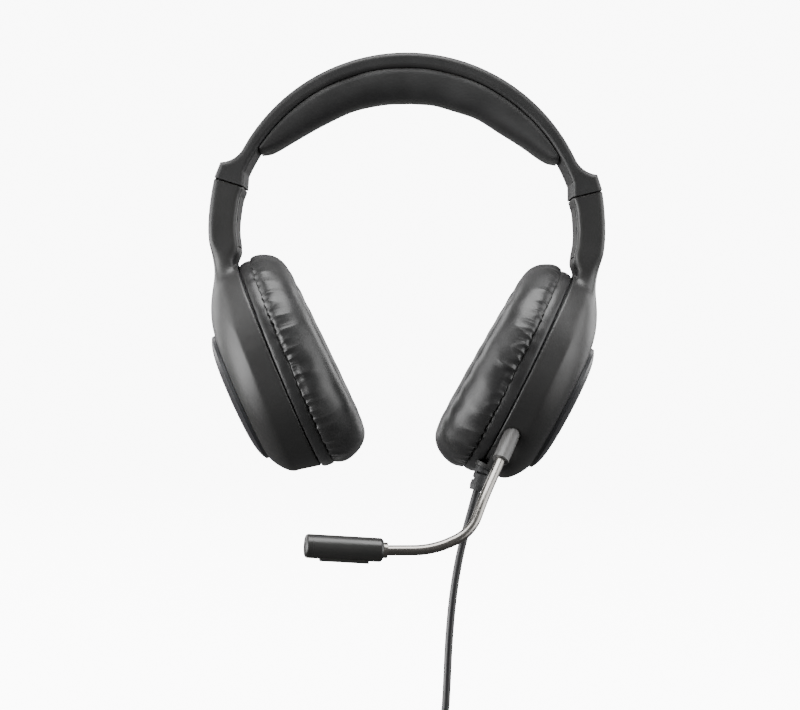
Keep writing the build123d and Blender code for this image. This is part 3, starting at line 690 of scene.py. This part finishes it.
def pad_edges():
    """The pad's lower and upper lines, seen from the front."""
    half = smooth_line(PAD_UNDERSIDE, PAD_STATIONS // 2 + 1)
    low = np.vstack([half[:0:-1] * [-1, 1], half])
    angle = np.linspace(math.pi - PAD_TIP, PAD_TIP, PAD_STATIONS)
    high = np.stack([PAD_SEAM_R * np.cos(angle), PAD_SEAM_Z + PAD_SEAM_R * np.sin(angle)], 1)
    return low, high


def pad_grid():
    """A long cushion under the band: full in the middle, crowned across and drawn in at its tips."""
    low, high = pad_edges()
    middle = (low + high) / 2
    share = np.abs(np.linspace(-1, 1, PAD_STATIONS))
    tip = np.sqrt(np.clip(1 - ease(share, PAD_TIP_START, 1.0) ** 2, 0, 1))
    turn = np.linspace(0, 2 * math.pi, PAD_ROUND, endpoint=False)
    across = np.sign(np.cos(turn)) * np.abs(np.cos(turn)) ** 0.72
    down = np.where(np.sin(turn) > 0, np.abs(np.sin(turn)) ** 0.80, 0)
    rng = np.random.default_rng(3)
    place, girth = np.meshgrid(np.linspace(0, PAD_LENGTH, PAD_STATIONS), turn * 10, indexing="ij")
    swell = 1 + 0.012 * ripple(rng, place, girth, 34, 40, 8)
    grid = np.empty((PAD_STATIONS, PAD_ROUND, 3))
    for k in range(PAD_STATIONS):
        side_view = high[k] + np.outer(down * swell[k], low[k] - high[k])
        side_view = middle[k] + (side_view - middle[k]) * tip[k]
        grid[k, :, 0], grid[k, :, 2] = side_view.T
        narrowing = (0.8 + 0.2 * tip[k]) * (0.4 + 0.6 * tip[k])
        grid[k, :, 1] = across * PAD_HALF_WIDTH * swell[k] * narrowing
    return grid


def make_band_pad():
    grid = pad_grid()
    i, j = np.meshgrid(np.arange(PAD_STATIONS - 1), np.arange(PAD_ROUND), indexing="ij")
    m = (j + 1) % PAD_ROUND
    corners = [i * PAD_ROUND + j, (i + 1) * PAD_ROUND + j, (i + 1) * PAD_ROUND + m, i * PAD_ROUND + m]
    faces = np.stack(corners, 2).reshape(-1, 4)
    pad = mesh_object("band_cushion", grid.reshape(-1, 3) * MM, faces, "pad_cover")
    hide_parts("band_pad")
    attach(pad, "band")


make_band_pad()


# ================================================================ stage and light

BACKDROP_FLAT, BACKDROP_BEND, BACKDROP_TOP = 2.4, 1.4, 3.4     # metres
BACKDROP_BEND_STEPS = 12
BACKDROP_SEGMENTS = 64
BACKDROP_GLOW = 9.0


def backdrop_profile():
    """Radius and height of the floor, its upward bend, the wall and the ceiling."""
    low, flat, bend = FLOOR_Z * MM, BACKDROP_FLAT, BACKDROP_BEND
    profile = [(0.001, low), (0.5, low), (flat, low)]
    for i in range(1, BACKDROP_BEND_STEPS + 1):
        a = i / BACKDROP_BEND_STEPS * math.pi / 2
        profile.append((flat + bend * math.sin(a), low + bend * (1 - math.cos(a))))
    return profile + [(flat + bend, BACKDROP_TOP), (0.001, BACKDROP_TOP)]


def make_floor():
    """A pale floor that curves up into a backdrop all round. It doesn't light the object."""
    profile = backdrop_profile()
    count = BACKDROP_SEGMENTS
    points, faces = [], []
    for r, z in profile:
        points += [(r * math.cos(2 * math.pi * k / count), r * math.sin(2 * math.pi * k / count), z)
                   for k in range(count)]
    for i in range(len(profile) - 1):
        for k in range(count):
            m = (k + 1) % count
            faces.append((i * count + k, i * count + m, (i + 1) * count + m, (i + 1) * count + k))
    faces.append(range(count))
    mesh = bpy.data.meshes.new("floor")
    mesh.from_pydata(points, [], faces)
    mesh.shade_smooth()
    floor = bpy.data.objects.new("floor", mesh)
    material, tree, shader = new_material("paper", (0.8, 0.8, 0.8), 0.9, specular=0.0)
    fibre = noise_texture(tree, 300, 4)
    tree.links.new(ramp(tree, fibre.outputs["Fac"], 0.78, 0.82), shader.inputs["Base Color"])
    shader.inputs["Emission Color"].default_value = (1, 1, 1, 1)
    shader.inputs["Emission Strength"].default_value = BACKDROP_GLOW
    mesh.materials.append(material)
    bpy.context.scene.collection.objects.link(floor)
    floor.visible_diffuse = False
    floor.visible_glossy = False
    floor.visible_shadow = False


def area_light(name, place, power, width, height):
    data = bpy.data.lights.new(name, "AREA")
    data.energy = power
    data.shape = "RECTANGLE"
    data.size = width
    data.size_y = height
    light = bpy.data.objects.new(name, data)
    light.location = place
    light.visible_camera = False
    light.rotation_euler = (Vector(LIGHT_TARGET) - Vector(place)).to_track_quat("-Z", "Y").to_euler()
    bpy.context.scene.collection.objects.link(light)


LIGHT_TARGET = (0, 0, -0.1)
# Each light's name, place, power in watts, width and height.
LIGHTS = [
    ("left", (-1.35, -0.30, 0.20), 21, 1.5, 1.3),
    ("right", (1.35, -0.30, 0.20), 22, 1.5, 1.3),
    ("top", (0, -0.45, 1.35), 52, 1.5, 1.1),
    ("bounce_left", (-0.75, -0.25, -0.29), 11, 0.9, 0.5),
    ("bounce_right", (0.75, -0.25, -0.29), 1.5, 0.9, 0.5),
    ("back_left", (-1.0, 1.1, 0.3), 9, 0.7, 1.2),
    ("back_right", (1.0, 1.1, 0.3), 9, 0.7, 1.2),
]


def make_world():
    """Soft light from all round, dimmer below than above."""
    world = bpy.data.worlds.new("studio")
    world.use_nodes = True
    tree = world.node_tree
    place = add(tree, "ShaderNodeTexCoord")
    split = add(tree, "ShaderNodeSeparateXYZ")
    tree.links.new(place.outputs["Generated"], split.inputs["Vector"])
    height = add(tree, "ShaderNodeMapRange")
    for socket, value in (("From Min", -0.6), ("From Max", 0.8), ("To Min", 0.14), ("To Max", 0.34)):
        height.inputs[socket].default_value = value
    tree.links.new(split.outputs["Z"], height.inputs["Value"])
    tree.links.new(height.outputs["Result"], tree.nodes["Background"].inputs["Strength"])
    tree.nodes["Background"].inputs["Color"].default_value = (1, 1, 1, 1)
    bpy.context.scene.world = world


make_floor()
make_world()
for light in LIGHTS:
    area_light(*light)

bpy.context.view_layer.update()
